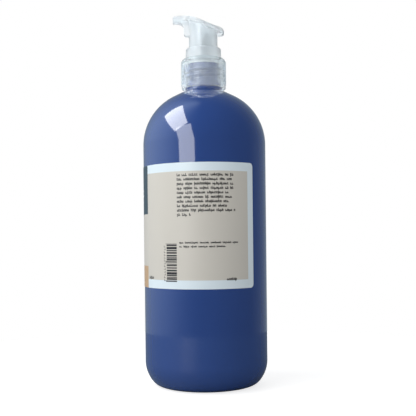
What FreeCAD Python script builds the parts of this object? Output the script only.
"""Pump oil bottle: a one-litre round bottle with a 28 mm screw neck and a lotion pump.

The bottle stands on +Z, its base ring on Z = 0 and its axis on Z. The spout points along -X.
Every driving dimension is a named cell of the sheet; all the rest is worked out from those cells.
"""
import FreeCAD, Part

import os
import re

import Sketcher
from FreeCAD import Placement, Rotation, Vector

# Driving dimensions in millimetres and degrees: (name, value, what it is).
SIZES = [
    # bottle
    ("body_radius", 42.85, "outer radius of the straight bottle wall"),
    ("wall", 1.3, "wall of the blown bottle"),
    ("base_corner_arc", 9.0, "lower, tighter arc of the base corner"),
    ("base_side_arc", 22.0, "upper, wider arc of the base corner"),
    ("base_blend", 50.0, "angle where the two corner arcs meet"),
    ("pushup_radius", 24.0, "radius of the pushed-up middle of the base"),
    ("pushup_height", 2.5, "height of the pushed-up middle of the base"),
    ("wall_top", 167.5, "height where the straight wall ends"),
    ("shoulder_arc", 38.0, "radius of the rounded shoulder"),
    ("shoulder_slope", 26.6, "slope of the cone above the rounded shoulder"),
    ("neck_foot_radius", 13.3, "radius of the plain ring under the thread"),
    ("neck_foot_height", 2.4, "height of that ring"),
    ("neck_radius", 12.5, "thread root radius of the neck"),
    ("neck_bore", 10.8, "radius of the hole through the neck"),
    ("neck_length", 18.4, "neck, from the shoulder cone to the rim"),
    # thread, shared by the neck and the closure
    ("thread_pitch", 4.233, "six turns to the inch"),
    ("thread_turns", 1.6, "turns of each thread"),
    ("thread_start", 9.43, "depth of the lower end of the neck thread below the rim"),
    ("thread_depth", 1.15, "height of the neck thread over its root"),
    ("thread_root_half", 1.1, "half width of a thread at its root"),
    ("thread_crest_half", 0.5, "half width of a thread at its crest"),
    ("thread_gap", 0.35, "clearance between the two threads"),
    # label
    ("label_below", 15.3, "label's upper edge below the top of the straight wall"),
    ("label_height", 82.9, "height of the label"),
    ("label_thick", 0.13, "thickness of the label"),
    ("label_film", 0.02, "adhesive film under the label"),
    ("label_wrap", 310.0, "angle that the label covers"),
    ("label_start", 7.8, "angle of the label's first edge from +X"),
    ("label_corner", 2.5, "radius of the label's corners"),
    # closure
    ("closure_height", 21.05, "height of the screw closure"),
    ("closure_wall", 1.3, "wall of the closure, under the ribs"),
    ("closure_deck", 2.0, "thickness of the closure's top"),
    ("closure_round", 2.0, "rounding of the closure's upper edge"),
    ("closure_hole", 11.4, "radius of the hole in the closure's top"),
    ("band_height", 2.2, "plain band under the ribs"),
    ("band_proud", 0.2, "how far the plain band stands out"),
    ("rib_height", 0.4, "how far a rib stands out"),
    ("rib_half_width", 0.32, "half width of a rib at its foot"),
    ("rib_count", 80, "ribs round the closure"),
    # pump housing and what it holds
    ("running_gap", 0.05, "clearance of pieces that turn or slide on each other"),
    ("seat_gap", 0.05, "clearance of pieces that clip or press together"),
    ("gasket_thick", 0.9, "thickness of the neck gasket"),
    ("flange_radius", 13.0, "radius of the housing's flange"),
    ("flange_thick", 1.2, "thickness of the housing's flange"),
    ("housing_radius", 9.95, "outer radius of the housing under the flange"),
    ("plug_bore", 8.95, "bore that takes the collar's plug"),
    ("plug_wall", 0.85, "wall of the collar's plug"),
    ("piston_bore", 7.0, "bore that the piston slides in"),
    ("barrel_wall", 1.2, "wall of the housing round the piston"),
    ("chamber_depth", 30.75, "from the wiper's ledge to the chamber floor"),
    ("inlet_bore", 2.9, "radius of the well that holds the inlet ball"),
    ("inlet_depth", 5.5, "depth of that well"),
    ("inlet_hole", 1.5, "radius of the hole under the inlet ball"),
    ("inlet_ball_radius", 2.38, "radius of the inlet ball"),
    ("socket_depth", 15.0, "depth of the socket for the dip tube"),
    ("socket_wall", 1.2, "wall of that socket"),
    ("cage_height", 3.4, "height of the ball cage"),
    ("cage_bore", 4.2, "inner radius of the ball cage"),
    ("cage_bar_half", 0.8, "half width of the bar over the inlet ball"),
    ("cage_bar_gap", 0.45, "bar above the chamber floor"),
    ("cage_bar_thick", 1.2, "thickness of that bar"),
    ("tube_radius", 3.3, "outer radius of the dip tube"),
    ("tube_bore", 2.5, "inner radius of the dip tube"),
    ("tube_foot_gap", 5.0, "dip tube above the inside of the base"),
    ("tube_slant", 4.0, "height of the slanting cut at the tube's foot"),
    # collar and wiper
    ("collar_radius", 12.5, "radius of the collar at its foot"),
    ("collar_taper", 0.2, "how much narrower the collar is at its top"),
    ("collar_height", 7.2, "height of the collar above the closure"),
    ("collar_chamfer", 0.5, "chamfer of the collar's upper edge"),
    ("collar_sleeve", 11.1, "outer radius of the collar inside the closure's hole"),
    ("web_thick", 0.9, "floor of the collar"),
    ("plug_length", 6.3, "length of the collar's plug and guide under the floor"),
    ("guide_wall", 1.2, "wall of the guide round the stem"),
    ("wiper_thick", 1.2, "thickness of the wiper ring"),
    # stem, piston, spring
    ("stroke", 7.0, "travel of the pump head"),
    ("stem_radius", 4.5, "outer radius of the stem"),
    ("stem_foot_radius", 3.8, "radius of the stem inside the piston"),
    ("stem_bore", 2.4, "bore of the stem"),
    ("stem_top", 1.4, "stem's upper end above the head's lower edge"),
    ("outlet_ball_radius", 2.0, "radius of the outlet ball"),
    ("outlet_bore", 2.5, "radius of the well that holds the outlet ball"),
    ("outlet_hole", 1.2, "radius of the hole under the outlet ball"),
    ("outlet_depth", 4.8, "depth of that well"),
    ("piston_height", 7.5, "height of the piston"),
    ("piston_waist", 5.6, "radius of the piston between its lips"),
    ("piston_lip", 1.4, "height of each piston lip"),
    ("stop_gap", 0.2, "piston under its upper stop"),
    ("retainer_radius", 5.3, "radius of the retainer's flange"),
    ("retainer_thick", 1.2, "thickness of the retainer's flange"),
    ("retainer_length", 5.0, "length of the retainer's spigot"),
    ("retainer_bore", 1.5, "bore of the retainer"),
    ("spring_radius", 4.6, "mean radius of the return spring"),
    ("spring_wire", 0.45, "radius of the spring wire"),
    ("spring_turns", 8, "turns of the return spring"),
    # head
    ("skirt_radius", 10.0, "outer radius of the head's skirt"),
    ("skirt_wall", 1.1, "wall of the skirt"),
    ("skirt_gap", 0.25, "clearance between the skirt and the collar"),
    ("skirt_stop", 0.3, "skirt above the collar's floor at the end of the stroke"),
    ("head_gap", 2.0, "head above the collar at the end of the stroke"),
    ("socket_tube_wall", 1.2, "wall of the head's socket round the stem"),
    ("crest_height", 14.3, "highest point of the head above its lower edge"),
    ("crest_reach", 15.4, "distance of that point from the axis"),
    ("crest_arc", 15.0, "arc from the crest down to the sloping pad"),
    ("pad_slope", 25.0, "slope of the thumb pad"),
    ("pad_run", 12.5, "straight stretch of the thumb pad, measured level"),
    ("pad_tail_arc", 24.0, "hollow arc where the pad flattens out"),
    ("pad_tail_slope", 11.0, "slope of the pad at its back edge"),
    ("pad_back", 14.8, "reach of the pad behind the axis"),
    ("pad_half_width", 11.0, "half width of the pad"),
    ("pad_mid", 1.5, "widest place of the pad, behind the axis"),
    ("pad_neck", 9.5, "place where the pad narrows towards the spout"),
    ("pad_neck_half", 7.0, "half width there"),
    ("pad_wall", 1.4, "wall of the pad and its rim"),
    ("rim_depth", 3.1, "depth of the rim round the pad"),
    ("spout_reach", 21.3, "reach of the spout from the axis"),
    ("spout_radius", 2.8, "outer radius of the spout"),
    ("spout_height", 11.5, "spout's axis above the head's lower edge"),
    ("spout_straight", 15.5, "where the narrow part of the spout begins"),
    ("tip_radius", 1.0, "rounding of the spout's upper edge"),
    ("tip_slope", 16.0, "slope of the spout's top at its end"),
    ("nozzle_bore", 1.9, "radius of the spout's mouth"),
    ("nozzle_depth", 8.0, "depth of the spout's mouth"),
    ("channel_bore", 1.5, "radius of the channel to the spout"),
    ("channel_wall", 1.2, "wall of the channel"),
    ("channel_rise", 5.6, "channel's elbow above the head's lower edge"),
    ("chin_reach", 13.6, "front of the web under the spout"),
    ("chin_round", 2.0, "rounding of the lower corner of that web"),
    ("throat_arc", 3.0, "hollow arc between that web and the spout"),
]
NAMES = {name for name, _, _ in SIZES}

# Heights worked out from the sizes, from the base upwards.
CORNER_R = "(base_side_arc*(1 - sin(base_blend)) + base_corner_arc*sin(base_blend))"
CORNER_Z = "(base_side_arc*cos(base_blend) + base_corner_arc*(1 - cos(base_blend)))"
CONE_R = "(body_radius - shoulder_arc*(1 - sin(shoulder_slope)))"
CONE_Z = "(wall_top + shoulder_arc*cos(shoulder_slope))"
NECK_FOOT = f"({CONE_Z} + ({CONE_R} - neck_foot_radius)*tan(shoulder_slope))"
RIM = f"({NECK_FOOT} + neck_length)"
FLANGE_LOW = f"({RIM} + gasket_thick)"
FLANGE_TOP = f"({FLANGE_LOW} + flange_thick)"
DECK_LOW = f"({FLANGE_TOP} + running_gap)"
DECK_TOP = f"({DECK_LOW} + closure_deck)"
CLOSURE_LOW = f"({DECK_TOP} - closure_height)"
COLLAR_LOW = f"({DECK_TOP} + running_gap)"
COLLAR_TOP = f"({COLLAR_LOW} + collar_height)"
WEB_LOW = f"({FLANGE_TOP} + seat_gap)"
WEB_TOP = f"({WEB_LOW} + web_thick)"
PLUG_LOW = f"({WEB_LOW} - plug_length)"
WIPER_TOP = f"({PLUG_LOW} - seat_gap)"
LEDGE = f"({WIPER_TOP} - wiper_thick)"
PISTON_TOP = f"({LEDGE} - stop_gap)"
PISTON_LOW = f"({PISTON_TOP} - piston_height)"
RETAINER_TOP = f"({PISTON_LOW} - running_gap)"
RETAINER_LOW = f"({RETAINER_TOP} - retainer_thick)"
FLOOR = f"({LEDGE} - chamber_depth)"
CAGE_TOP = f"({FLOOR} + cage_height)"
INLET_SEAT = f"({FLOOR} - inlet_depth)"
SOCKET_TOP = f"({INLET_SEAT} - inlet_hole)"
SOCKET_LOW = f"({SOCKET_TOP} - socket_depth)"
SKIRT_LOW = f"({WEB_TOP} + stroke + skirt_stop)"
HEAD_LOW = f"({COLLAR_TOP} + stroke + head_gap)"
STEM_TOP = f"({HEAD_LOW} + stem_top)"
OUTLET_SEAT = f"({STEM_TOP} - outlet_depth)"

# Radii worked out from the sizes.
THREAD_CREST = "(neck_radius + thread_depth)"
CLOSURE_BORE = f"({THREAD_CREST} + thread_gap)"
CLOSURE_R = f"({CLOSURE_BORE} + closure_wall)"
SOCKET_BORE = "(tube_radius + seat_gap)"
COLLAR_BORE = "(skirt_radius + skirt_gap)"
GUIDE_BORE = "(stem_radius + 2*running_gap)"
SOCKET_TUBE_BORE = "(stem_radius + seat_gap)"
SOCKET_TUBE_R = f"({SOCKET_TUBE_BORE} + socket_tube_wall)"

doc = FreeCAD.newDocument("PumpOilBottle")
sheet = doc.addObject("Spreadsheet::Sheet", "Sizes")
nodes = {}


def fill_sheet():
    """Write every driving dimension into the sheet, one row each."""
    for row, (name, value, meaning) in enumerate(SIZES, start=1):
        sheet.set(f"A{row}", meaning)
        sheet.set(f"B{row}", str(value))
        sheet.setAlias(f"B{row}", name)
    doc.recompute()


def bound(text):
    """Point every size name in an expression at its cell."""
    return re.sub(r"[a-z]\w*", lambda m: f"Sizes.{m[0]}" if m[0] in NAMES else m[0], text)


def value(text):
    """Work an expression out with the sheet's present numbers."""
    return float(sheet.evalExpression(bound(text)))


def bind(feature, prop, text):
    """Tie one property of a feature to an expression."""
    feature.setExpression(prop, bound(text))


def origin_feature(body, role):
    """Return one of the body's own origin planes or axes."""
    return next(item for item in body.Origin.OriginFeatures if item.Role == role)


def new_body(label):
    """Start a body that becomes one piece of the bottle."""
    body = doc.addObject("PartDesign::Body", label.title().replace("_", ""))
    body.Label = label
    body.Placement = Placement()
    return body


def arc_centre(start, end, radius, turn):
    """Centre of the short arc between two points; turn is +1 anticlockwise, -1 clockwise."""
    half = (end - start) / 2
    across = Vector(-half.y, half.x, 0).normalize()
    rise = max(radius ** 2 - half.Length ** 2, 0) ** 0.5
    return start + half + across * rise * turn


def pin_point(sketch, edge, end, axis, text):
    """Hold one coordinate of an edge's end at an expression, on an axis where it is nought."""
    number = value(text)
    if abs(number) < 1e-9:
        sketch.addConstraint(Sketcher.Constraint("PointOnObject", edge, end, -2 if axis == "X" else -1))
        return
    ends = (-1, 1, edge, end) if number > 0 else (edge, end, -1, 1)
    index = sketch.addConstraint(Sketcher.Constraint(f"Distance{axis}", *ends, abs(number)))
    bind(sketch, f"Constraints[{index}]", text if number > 0 else f"-({text})")


def new_sketch(body, name, plane, turn_by=0.0):
    """Start a sketch on one of the body's origin planes, turned about its own upright axis."""
    sketch = body.newObject("Sketcher::SketchObject", name)
    sketch.AttachmentSupport = [(origin_feature(body, plane), "")]
    sketch.MapMode = "FlatFace"
    sketch.AttachmentOffset = Placement(Vector(), Rotation(Vector(0, 1, 0), turn_by))
    return sketch


def round_section(body, name, across, high, radius):
    """Sketch one circle at a radius and height, on the XZ plane."""
    sketch = new_sketch(body, name, "XZ_Plane")
    centre = Vector(value(across), value(high), 0)
    edge = sketch.addGeometry(Part.Circle(centre, Vector(0, 0, 1), value(radius)), False)
    pin_point(sketch, edge, 3, "X", across)
    pin_point(sketch, edge, 3, "Y", high)
    index = sketch.addConstraint(Sketcher.Constraint("Radius", edge, value(radius)))
    bind(sketch, f"Constraints[{index}]", radius)
    return sketch


def outline(body, name, plane, steps, turn_by=0.0):
    """Sketch a closed outline whose corners are tied to the sheet.

    A step is (x, y) for a straight edge to that point, or (x, y, radius, turn) for an arc to it.
    The first step is the point where the last edge comes back to.
    """
    sketch = new_sketch(body, name, plane, turn_by)
    points = [Vector(value(step[0]), value(step[1]), 0) for step in steps]
    count = len(steps)
    heads, tails = [], []
    for index in range(count):
        start, end = points[index], points[(index + 1) % count]
        step = steps[(index + 1) % count]
        if len(step) == 2:
            edge = sketch.addGeometry(Part.LineSegment(start, end), False)
            heads.append((edge, 1))
            tails.append((edge, 2))
            continue
        radius, turn = value(step[2]), step[3]
        centre = arc_centre(start, end, radius, turn)
        first, last = (start, end) if turn > 0 else (end, start)
        from_angle = Vector(1, 0, 0).getAngle(first - centre) * (1 if first.y >= centre.y else -1)
        to_angle = Vector(1, 0, 0).getAngle(last - centre) * (1 if last.y >= centre.y else -1)
        circle = Part.Circle(centre, Vector(0, 0, 1), radius)
        edge = sketch.addGeometry(Part.ArcOfCircle(circle, from_angle, to_angle), False)
        heads.append((edge, 1 if turn > 0 else 2))
        tails.append((edge, 2 if turn > 0 else 1))
        index_radius = sketch.addConstraint(Sketcher.Constraint("Radius", edge, radius))
        bind(sketch, f"Constraints[{index_radius}]", step[2])
    for index in range(count):
        sketch.addConstraint(Sketcher.Constraint("Coincident", *tails[index - 1], *heads[index]))
        pin_point(sketch, *heads[index], "X", steps[index][0])
        pin_point(sketch, *heads[index], "Y", steps[index][1])
    return sketch


def revolve(body, name, steps, angle="360", turn_by=0.0):
    """Turn an outline of radius and height about Z."""
    sketch = outline(body, f"{name}Section", "XZ_Plane", steps, turn_by)
    feature = body.newObject("PartDesign::Revolution", name)
    feature.Profile = sketch
    feature.ReferenceAxis = (sketch, ["V_Axis"])
    bind(feature, "Angle", angle)
    sketch.Visibility = False
    return feature


def helix(body, name, sketch, pitch, turns):
    """Sweep a section up a right-handed helix about Z."""
    feature = body.newObject("PartDesign::AdditiveHelix", name)
    feature.Profile = sketch
    feature.ReferenceAxis = (sketch, ["V_Axis"])
    feature.Mode = "pitch-turns-angle"
    bind(feature, "Pitch", pitch)
    bind(feature, "Turns", turns)
    return feature


def pad(body, name, plane, steps, length, lift="0", both_ways=False):
    """Extrude an outline from a plane, or to both sides of it."""
    sketch = outline(body, f"{name}Section", plane, steps)
    bind(sketch, "AttachmentOffset.Base.z", lift)
    feature = body.newObject("PartDesign::Pad", name)
    feature.Profile = sketch
    feature.Midplane = both_ways
    bind(feature, "Length", length)
    return feature


def rectangle(low_x, high_x, low_y, high_y):
    """Corners of an upright rectangle, anticlockwise."""
    return [(low_x, low_y), (high_x, low_y), (high_x, high_y), (low_x, high_y)]


def combine(kind, name, shapes):
    """Join, cut or intersect shapes with one of Part's booleans."""
    feature = doc.addObject(kind, name)
    if kind == "Part::MultiFuse":
        feature.Shapes = shapes
    else:
        feature.Base, feature.Tool = shapes
    return feature


def make_bottle():
    """Blown bottle: pushed-up base, two-arc corner, round shoulder, cone and threaded neck."""
    blend_r = "(body_radius - base_side_arc + {0}*sin(base_blend))"
    blend_z = f"({CORNER_Z} - {{0}}*cos(base_blend))"
    inner_cone_r = "(body_radius - shoulder_arc + (shoulder_arc - wall)*sin(shoulder_slope))"
    inner_cone_z = "(wall_top + (shoulder_arc - wall)*cos(shoulder_slope))"
    inner_foot = f"({inner_cone_z} + ({inner_cone_r} - neck_bore)*tan(shoulder_slope))"
    dome_arc = "((pushup_radius^2 + pushup_height^2)/(2*pushup_height))"
    foot_step = "(neck_foot_radius - neck_radius)"
    inner_side = "(base_side_arc - wall)"
    body = new_body("bottle")
    revolve(body, "BottleWall", [
        ("0", "pushup_height"),
        ("pushup_radius", "0", dome_arc, -1),
        (f"body_radius - {CORNER_R}", "0"),
        (blend_r.format("base_side_arc"), blend_z.format("base_side_arc"), "base_corner_arc", 1),
        ("body_radius", CORNER_Z, "base_side_arc", 1),
        ("body_radius", "wall_top"),
        (CONE_R, CONE_Z, "shoulder_arc", 1),
        ("neck_foot_radius", NECK_FOOT),
        ("neck_foot_radius", f"{NECK_FOOT} + neck_foot_height"),
        ("neck_radius", f"{NECK_FOOT} + neck_foot_height + {foot_step}"),
        ("neck_radius", RIM),
        ("neck_bore", RIM),
        ("neck_bore", inner_foot),
        (inner_cone_r, inner_cone_z),
        ("body_radius - wall", "wall_top", "shoulder_arc - wall", -1),
        ("body_radius - wall", CORNER_Z),
        (blend_r.format(inner_side), blend_z.format(inner_side), inner_side, -1),
        (f"body_radius - {CORNER_R}", "wall", "base_corner_arc - wall", -1),
        ("pushup_radius", "wall"),
        ("0", "pushup_height + wall", dome_arc, 1),
    ])
    start = f"({RIM} - thread_start)"
    sunk = f"({start} - thread_root_half)"
    section = outline(body, "NeckThreadSection", "XZ_Plane", [
        ("neck_radius - wall/4", sunk),
        ("neck_radius", sunk),
        (THREAD_CREST, f"{start} - thread_crest_half"),
        (THREAD_CREST, f"{start} + thread_crest_half"),
        ("neck_radius", f"{start} + thread_root_half"),
        ("neck_radius - wall/4", f"{start} + thread_root_half"),
    ], turn_by=180)
    helix(body, "NeckThread", section, "thread_pitch", "thread_turns")
    nodes["bottle"] = body


def make_label():
    """Wrap-round label, one thin sheet with rounded corners."""
    inner = "(body_radius + label_film)"
    outer = f"({inner} + label_thick)"
    top = "(wall_top - label_below)"
    body = new_body("label")
    sheet_feature = revolve(body, "LabelSheet", rectangle(inner, outer, f"{top} - label_height", top),
                            "label_wrap", turn_by=value("label_start"))
    doc.recompute()
    thick = value("label_thick")
    short = [f"Edge{number}" for number, edge in enumerate(sheet_feature.Shape.Edges, start=1)
             if abs(edge.Length - thick) < thick / 10]
    corners = body.newObject("PartDesign::Fillet", "LabelCorners")
    corners.Base = (sheet_feature, short)
    bind(corners, "Radius", "label_corner")
    nodes["label"] = body


def make_closure():
    """Ribbed screw closure with its thread; the collar passes through its top."""
    lead_in = "(closure_wall/4)"
    bevel = "(closure_wall/2)"
    body = new_body("closure")
    band_r = f"({CLOSURE_R} + band_proud)"
    band_top = f"({CLOSURE_LOW} + band_height)"
    rounding = "(closure_round + band_proud)"
    revolve(body, "ClosureWall", [
        (f"{CLOSURE_BORE} + {lead_in}", CLOSURE_LOW),
        (f"{band_r} - {bevel}", CLOSURE_LOW),
        (band_r, f"{CLOSURE_LOW} + {bevel}", bevel, 1),
        (band_r, band_top),
        (CLOSURE_R, f"{band_top} + band_proud"),
        (CLOSURE_R, f"{DECK_TOP} - closure_round"),
        (f"{CLOSURE_R} - closure_round", DECK_TOP, "closure_round", 1),
        ("closure_hole", DECK_TOP),
        ("closure_hole", DECK_LOW),
        (f"{CLOSURE_BORE} - {bevel}", DECK_LOW),
        (CLOSURE_BORE, f"{DECK_LOW} - {bevel}"),
        (CLOSURE_BORE, f"{CLOSURE_LOW} + {lead_in}"),
    ])
    reach = "(thread_depth - thread_gap)"
    crest = f"({CLOSURE_BORE} - {reach} - thread_gap/2)"
    drop = "(thread_root_half + thread_crest_half + thread_gap/2)"
    start = f"({RIM} - thread_start - {drop})"
    root_half = "(thread_root_half*0.8)"
    section = outline(body, "ClosureThreadSection", "XZ_Plane", [
        (crest, f"{start} - thread_crest_half"),
        (CLOSURE_BORE, f"{start} - {root_half}"),
        (f"{CLOSURE_BORE} + {lead_in}", f"{start} - {root_half}"),
        (f"{CLOSURE_BORE} + {lead_in}", f"{start} + {root_half}"),
        (CLOSURE_BORE, f"{start} + {root_half}"),
        (crest, f"{start} + thread_crest_half"),
    ], turn_by=180)
    helix(body, "ClosureThread", section, "thread_pitch", "thread_turns")
    rib = pad(body, "Rib", "XY_Plane", [
        (f"{CLOSURE_R} - {lead_in}", "-rib_half_width"),
        (f"{CLOSURE_R} + rib_height", "-rib_half_width/2"),
        (f"{CLOSURE_R} + rib_height", "rib_half_width/2"),
        (f"{CLOSURE_R} - {lead_in}", "rib_half_width"),
    ], f"{DECK_TOP} - {rounding} - {band_top}", lift=band_top)
    ribs = body.newObject("PartDesign::PolarPattern", "Ribs")
    ribs.Originals = [rib]
    ribs.Axis = (origin_feature(body, "Z_Axis"), [""])
    ribs.Angle = 360
    bind(ribs, "Occurrences", "rib_count")
    body.Tip = ribs
    nodes["closure"] = body


def make_collar():
    """Collar on top of the closure: outer ring, floor, plug in the housing, guide for the stem."""
    top_r = "(collar_radius - collar_taper)"
    plug_r = "(plug_bore - seat_gap)"
    body = new_body("collar")
    revolve(body, "CollarSection", [
        ("collar_sleeve", COLLAR_LOW),
        ("collar_radius", COLLAR_LOW),
        (top_r, f"{COLLAR_TOP} - collar_chamfer"),
        (f"{top_r} - collar_chamfer", COLLAR_TOP),
        (COLLAR_BORE, COLLAR_TOP),
        (COLLAR_BORE, WEB_TOP),
        (GUIDE_BORE, WEB_TOP),
        (GUIDE_BORE, PLUG_LOW),
        (f"{GUIDE_BORE} + guide_wall", PLUG_LOW),
        (f"{GUIDE_BORE} + guide_wall", WEB_LOW),
        (f"{plug_r} - plug_wall", WEB_LOW),
        (f"{plug_r} - plug_wall", PLUG_LOW),
        (plug_r, PLUG_LOW),
        (plug_r, WEB_LOW),
        ("collar_sleeve", WEB_LOW),
    ])
    nodes["collar"] = body


def make_ring(label, inner, outer, low, high):
    """Plain ring between two radii and two heights."""
    body = new_body(label)
    revolve(body, f"{label.title().replace('_', '')}Ring", rectangle(inner, outer, low, high))
    nodes[label] = body
    return body


def make_seals():
    """Soft rings: the gasket on the neck's rim and the wiper round the stem."""
    make_ring("neck_gasket", "housing_radius + 2*seat_gap", "flange_radius", RIM, FLANGE_LOW)
    make_ring("stem_wiper", "stem_radius + running_gap", "plug_bore - seat_gap", LEDGE, WIPER_TOP)


def make_housing():
    """Pump housing: flange, plug bore, piston chamber, inlet seat and dip tube socket."""
    barrel = "(piston_bore + barrel_wall)"
    step = f"(housing_radius - {barrel})"
    shoulder = f"({LEDGE} - barrel_wall)"
    socket_r = f"({SOCKET_BORE} + socket_wall)"
    cone = f"({barrel} - {socket_r})"
    body = new_body("housing")
    revolve(body, "HousingSection", [
        (SOCKET_BORE, SOCKET_LOW),
        (socket_r, SOCKET_LOW),
        (socket_r, f"{FLOOR} - barrel_wall - {cone}"),
        (barrel, f"{FLOOR} - barrel_wall"),
        (barrel, f"{shoulder} - {step}"),
        ("housing_radius", shoulder),
        ("housing_radius", FLANGE_LOW),
        ("flange_radius", FLANGE_LOW),
        ("flange_radius", FLANGE_TOP),
        ("plug_bore", FLANGE_TOP),
        ("plug_bore", LEDGE),
        ("piston_bore", LEDGE),
        ("piston_bore", FLOOR),
        ("inlet_bore", FLOOR),
        ("inlet_bore", f"{INLET_SEAT} + inlet_bore - inlet_hole"),
        ("inlet_hole", INLET_SEAT),
        ("inlet_hole", SOCKET_TOP),
        (SOCKET_BORE, SOCKET_TOP),
    ])
    nodes["housing"] = body


def make_ball(label, radius, seat, hole):
    """Ball resting just clear of a 45 degree seat round a hole."""
    ball = doc.addObject("Part::Sphere", label.title().replace("_", ""))
    ball.Label = label
    bind(ball, "Radius", radius)
    bind(ball, "Placement.Base.z", f"{seat} - {hole} + {radius}*sqrt(2) + seat_gap")
    nodes[label] = ball


def make_cage():
    """Ring on the chamber floor that carries the spring, with a bar that keeps the ball in."""
    rim = "(piston_bore - seat_gap)"
    body = make_ring("ball_cage", "cage_bore", rim, FLOOR, CAGE_TOP)
    grip = f"({rim} - (piston_bore - cage_bore)/2)"
    pad(body, "CageBar", "XY_Plane", rectangle(f"-{grip}", grip, "-cage_bar_half", "cage_bar_half"),
        "cage_bar_thick", lift=f"{FLOOR} + cage_bar_gap")


def make_dip_tube():
    """Dip tube from the housing's socket to just above the base, its foot cut on a slant."""
    foot = "(pushup_height + wall + tube_foot_gap)"
    over = "(tube_radius + wall)"
    body = make_ring("dip_tube", "tube_bore", "tube_radius", foot, f"{SOCKET_TOP} - seat_gap")
    sketch = outline(body, "FootSlant", "XZ_Plane", [
        (f"-{over}", f"{foot} - wall"),
        (over, f"{foot} - wall"),
        (over, f"{foot} + tube_slant"),
        (f"-{over}", foot),
    ])
    cut = body.newObject("PartDesign::Pocket", "FootCut")
    cut.Profile = sketch
    cut.Midplane = True
    bind(cut, "Length", f"2*{over}")


def make_spring():
    """Return spring between the ball cage and the piston retainer."""
    low = f"({CAGE_TOP} + seat_gap)"
    high = f"({RETAINER_LOW} - seat_gap)"
    start = f"({low} + spring_wire)"
    body = new_body("return_spring")
    section = round_section(body, "SpringWire", "spring_radius", start, "spring_wire")
    helix(body, "SpringCoil", section, f"({high} - {low} - 2*spring_wire)/spring_turns", "spring_turns")
    nodes["return_spring"] = body


def make_piston():
    """Piston with a sealing lip at each end, loose enough on the stem's foot to turn."""
    bore = "(stem_foot_radius + running_gap)"
    lip = "(piston_bore - running_gap)"
    flare = f"({lip} - piston_waist)"
    body = new_body("piston")
    revolve(body, "PistonSection", [
        (bore, PISTON_LOW),
        (lip, PISTON_LOW),
        (lip, f"{PISTON_LOW} + piston_lip"),
        ("piston_waist", f"{PISTON_LOW} + piston_lip + {flare}/2"),
        ("piston_waist", f"{PISTON_TOP} - piston_lip - {flare}/2"),
        (lip, f"{PISTON_TOP} - piston_lip"),
        (lip, PISTON_TOP),
        (bore, PISTON_TOP),
    ])
    nodes["piston"] = body


def make_stem():
    """Hollow stem from the piston up into the head, with the outlet ball's seat at its top."""
    shoulder = f"({PISTON_TOP} + running_gap)"
    body = new_body("stem")
    revolve(body, "StemSection", [
        ("stem_bore", RETAINER_TOP + " + seat_gap"),
        ("stem_foot_radius", RETAINER_TOP + " + seat_gap"),
        ("stem_foot_radius", shoulder),
        ("stem_radius", shoulder),
        ("stem_radius", STEM_TOP),
        ("outlet_bore", STEM_TOP),
        ("outlet_bore", f"{OUTLET_SEAT} + outlet_bore - outlet_hole"),
        ("outlet_hole", OUTLET_SEAT),
        ("outlet_hole", f"{OUTLET_SEAT} - outlet_hole"),
        ("stem_bore", f"{OUTLET_SEAT} - stem_bore"),
    ])
    nodes["stem"] = body


def make_retainer():
    """Hollow plug in the stem's foot; its flange holds the piston and carries the spring."""
    spigot = "(stem_bore - seat_gap)"
    body = new_body("piston_retainer")
    revolve(body, "RetainerSection", [
        ("retainer_bore", RETAINER_LOW),
        ("retainer_radius", RETAINER_LOW),
        ("retainer_radius", RETAINER_TOP),
        (spigot, RETAINER_TOP),
        (spigot, f"{RETAINER_TOP} + retainer_length"),
        ("retainer_bore", f"{RETAINER_TOP} + retainer_length"),
    ])
    nodes["piston_retainer"] = body


def head_top_steps(lower):
    """Upper line of the head from the spout's end to the back edge, lowered by an offset."""
    front_arc = "((spout_reach - tip_radius*(1 - sin(tip_slope)) - crest_reach)/sin(tip_slope))"
    crest = f"({HEAD_LOW} + crest_height - {lower})"
    tip_x = f"(-crest_reach - {front_arc}*sin(tip_slope))"
    tip_z = f"({crest} - {front_arc}*(1 - cos(tip_slope)))"
    slope_x = "(-crest_reach + crest_arc*sin(pad_slope))"
    slope_z = f"({crest} - crest_arc*(1 - cos(pad_slope)))"
    run_x = f"({slope_x} + pad_run)"
    run_z = f"({slope_z} - pad_run*tan(pad_slope))"
    tail_x = f"({run_x} + pad_tail_arc*(sin(pad_slope) - sin(pad_tail_slope)))"
    tail_z = f"({run_z} - pad_tail_arc*(cos(pad_tail_slope) - cos(pad_slope)))"
    back_z = f"({tail_z} - (pad_back - {tail_x})*tan(pad_tail_slope))"
    return {
        "face": ("-spout_reach", f"{tip_z} - tip_radius*cos(tip_slope)"),
        "tip": (tip_x, tip_z, "tip_radius", -1),
        "crest": ("-crest_reach", crest, front_arc, -1),
        "slope": (slope_x, slope_z, "crest_arc", -1),
        "run": (run_x, run_z),
        "tail": (tail_x, tail_z, "pad_tail_arc", 1),
        "back": ("pad_back", back_z),
    }


def lowered(step, depth):
    """The same point a given depth further down."""
    return (step[0], f"({step[1]} - {depth})") + tuple(step[2:])


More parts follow.
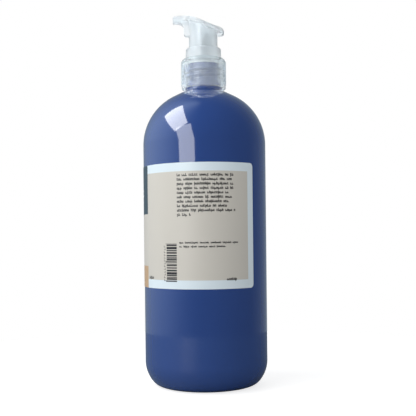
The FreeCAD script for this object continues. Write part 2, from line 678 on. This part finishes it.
def plan_steps(inset, front):
    """Outline of the head seen from above, drawn in by an inset."""
    half = f"(pad_half_width - {inset})"
    neck = f"(pad_neck_half - {inset})"
    spout = f"(spout_radius - {inset})"
    back = f"(pad_back - {inset})"
    sag = f"({back} - pad_mid)"
    back_arc = f"(({half}^2 + {sag}^2)/(2*{sag}))"
    run, rise = "(pad_mid + pad_neck)", f"({half} - {neck})"
    side_arc = f"(({run}^2 + {rise}^2)/(2*{rise}))"
    flare, spread = "(spout_straight - pad_neck)", f"({neck} - {spout})"
    flare_arc = f"(({flare}^2 + {spread}^2)/(2*{spread}))"
    return [
        (front, f"-{spout}"),
        ("-spout_straight", f"-{spout}"),
        ("-pad_neck", f"-{neck}", flare_arc, -1),
        ("pad_mid", f"-{half}", side_arc, 1),
        (back, "0", back_arc, 1),
        ("pad_mid", half, back_arc, 1),
        ("-pad_neck", neck, side_arc, 1),
        ("-spout_straight", spout, flare_arc, -1),
        (front, spout),
    ]


def make_head():
    """Pump head: rimmed thumb pad, spout, web under the spout, skirt and stem socket."""
    width = "(3*pad_half_width)"
    top = head_top_steps("0")
    line = [top[key] for key in ("tip", "crest", "slope", "run", "tail", "back")]
    edge = [lowered(top[key], "rim_depth") for key in ("back", "tail", "run", "slope")]
    edge[1] = edge[1][:2]
    edge[2] = edge[2][:2] + ("pad_tail_arc", -1)
    edge[3] = edge[3][:2]
    crest_edge = lowered(top["crest"], "rim_depth")[:2] + ("crest_arc", 1)
    face_low = ("-spout_reach", lowered(top["crest"], "rim_depth")[1])

    band = new_body("head_band")
    pad(band, "HeadBand", "XZ_Plane", [top["face"]] + line + edge + [crest_edge, face_low],
        width, both_ways=True)
    plan = new_body("head_plan")
    pad(plan, "HeadPlan", "XY_Plane", plan_steps("0", "-spout_reach - pad_wall"),
        "2*crest_height", lift=HEAD_LOW)
    plate = combine("Part::Common", "HeadPlate", (band, plan))

    inner = head_top_steps("pad_wall")
    inner_line = [inner[key] for key in ("slope", "run", "tail", "back")]
    inner_line[0] = inner_line[0][:2]
    void_side = new_body("head_void_side")
    pad(void_side, "HeadVoidSide", "XZ_Plane",
        inner_line + [("pad_back", HEAD_LOW + " - rim_depth"), (inner_line[0][0], HEAD_LOW + " - rim_depth")],
        width, both_ways=True)
    void_plan = new_body("head_void_plan")
    pad(void_plan, "HeadVoidPlan", "XY_Plane", plan_steps("pad_wall", "-spout_reach"),
        "3*crest_height", lift=HEAD_LOW + " - crest_height")
    void = combine("Part::Common", "HeadVoid", (void_side, void_plan))
    shell = combine("Part::Cut", "HeadShell", (plate, void))

    tubes = new_body("head_tubes")
    high = f"({HEAD_LOW} + crest_height)"
    revolve(tubes, "Skirt", rectangle("skirt_radius - skirt_wall", "skirt_radius", SKIRT_LOW, high))
    socket = new_body("head_socket")
    revolve(socket, "Socket", rectangle("0", SOCKET_TUBE_R, SKIRT_LOW, high))
    chin = new_body("head_chin")
    chin_top = f"({HEAD_LOW} + spout_height)"
    throat_z = f"({chin_top} - spout_radius)"
    pad(chin, "Chin", "XZ_Plane", [
        ("-(skirt_radius - skirt_wall/2)", HEAD_LOW),
        ("-(skirt_radius - skirt_wall/2)", chin_top),
        ("-(chin_reach + throat_arc)", chin_top),
        ("-(chin_reach + throat_arc)", throat_z),
        ("-chin_reach", f"{throat_z} - throat_arc", "throat_arc", -1),
        ("-chin_reach", f"{HEAD_LOW} + chin_round"),
        ("-(chin_reach - chin_round)", HEAD_LOW, "chin_round", 1),
    ], "2*spout_radius", both_ways=True)

    elbow = f"({HEAD_LOW} + channel_rise)"
    spout = rod("HeadSpout", "spout_radius", "-spout_reach", chin_top, "spout_reach - skirt_radius/2", 90)
    duct = slanted_rod("HeadDuct", "channel_bore + channel_wall", elbow, chin_top)
    core = combine("Part::MultiFuse", "HeadCore", [tubes, socket, chin, spout, duct])
    under = new_body("head_under")
    pad(under, "HeadUnder", "XZ_Plane", [top["face"]] + line + [
        ("pad_back", f"{SKIRT_LOW} - wall"), ("-spout_reach", f"{SKIRT_LOW} - wall")],
        width, both_ways=True)
    core_in = combine("Part::Common", "HeadCoreInside", (core, under))
    whole = combine("Part::MultiFuse", "HeadSolid", [shell, core_in])

    bore = new_body("head_bore")
    revolve(bore, "StemSocket", [
        ("0", f"{SKIRT_LOW} - wall"),
        (SOCKET_TUBE_BORE, f"{SKIRT_LOW} - wall"),
        (SOCKET_TUBE_BORE, f"{STEM_TOP} + 4*seat_gap"),
        ("channel_bore", f"{STEM_TOP} + 4*seat_gap"),
        ("channel_bore", elbow),
        ("0", elbow),
    ])
    mouth = rod("HeadMouth", "nozzle_bore", "-spout_reach - wall", chin_top, "nozzle_depth + wall", 90)
    duct_bore = slanted_rod("HeadDuctBore", "channel_bore", elbow, chin_top)
    bores = combine("Part::MultiFuse", "HeadBores", [bore, mouth, duct_bore])
    head = combine("Part::Cut", "Head", (whole, bores))
    head.Label = "head"
    head.Refine = True
    nodes["head"] = head


def rod(name, radius, start_x, start_z, length, tilt):
    """Round rod in the XZ plane from a point, tilted from +Z towards +X."""
    cylinder = doc.addObject("Part::Cylinder", name)
    bind(cylinder, "Radius", radius)
    bind(cylinder, "Height", length)
    cylinder.Placement = Placement(Vector(), Rotation(Vector(0, 1, 0), tilt))
    bind(cylinder, "Placement.Base.x", start_x)
    bind(cylinder, "Placement.Base.z", start_z)
    return cylinder


def slanted_rod(name, radius, elbow, mouth):
    """Rod from the elbow over the stem to the inner end of the spout's mouth."""
    reach = value("spout_reach - nozzle_depth/2")
    rise = value(f"{mouth} - {elbow}")
    ray = Vector(-reach, 0, rise)
    length = f"sqrt((spout_reach - nozzle_depth/2)^2 + ({mouth} - {elbow})^2)"
    cylinder = rod(name, radius, "0", elbow, length, 0)
    cylinder.Placement = Placement(cylinder.Placement.Base, Rotation(Vector(0, 0, 1), ray))
    bind(cylinder, "Placement.Base.z", elbow)
    return cylinder


def check_and_export():
    """Refuse a failed feature or a bad shape, then write one STEP file for each piece."""
    for item in doc.Objects:
        faults = {"Invalid", "Error"} & set(item.State)
        if faults:
            raise RuntimeError(f"{item.Label}: {', '.join(faults)}")
    for label, item in nodes.items():
        shape = item.Shape
        if item.Label != label or shape.isNull() or not shape.isValid() or not shape.Solids:
            raise RuntimeError(f"{label}: label or shape is wrong")
    os.makedirs("parts", exist_ok=True)
    for label, item in nodes.items():
        item.Shape.exportStep(f"parts/{label}.step")
        box = item.Shape.optimalBoundingBox()
        print(f"{label}: {len(item.Shape.Solids)} solid, {item.Shape.Volume:.1f} mm3, "
              f"X {box.XMin:.2f} {box.XMax:.2f} Y {box.YMin:.2f} {box.YMax:.2f} Z {box.ZMin:.2f} {box.ZMax:.2f}")


fill_sheet()
make_bottle()
make_label()
make_closure()
make_collar()
make_seals()
make_housing()
make_ball("inlet_ball", "inlet_ball_radius", INLET_SEAT, "inlet_hole")
make_ball("outlet_ball", "outlet_ball_radius", OUTLET_SEAT, "outlet_hole")
make_cage()
make_dip_tube()
make_spring()
make_piston()
make_stem()
make_retainer()
make_head()
doc.recompute()
check_and_export()
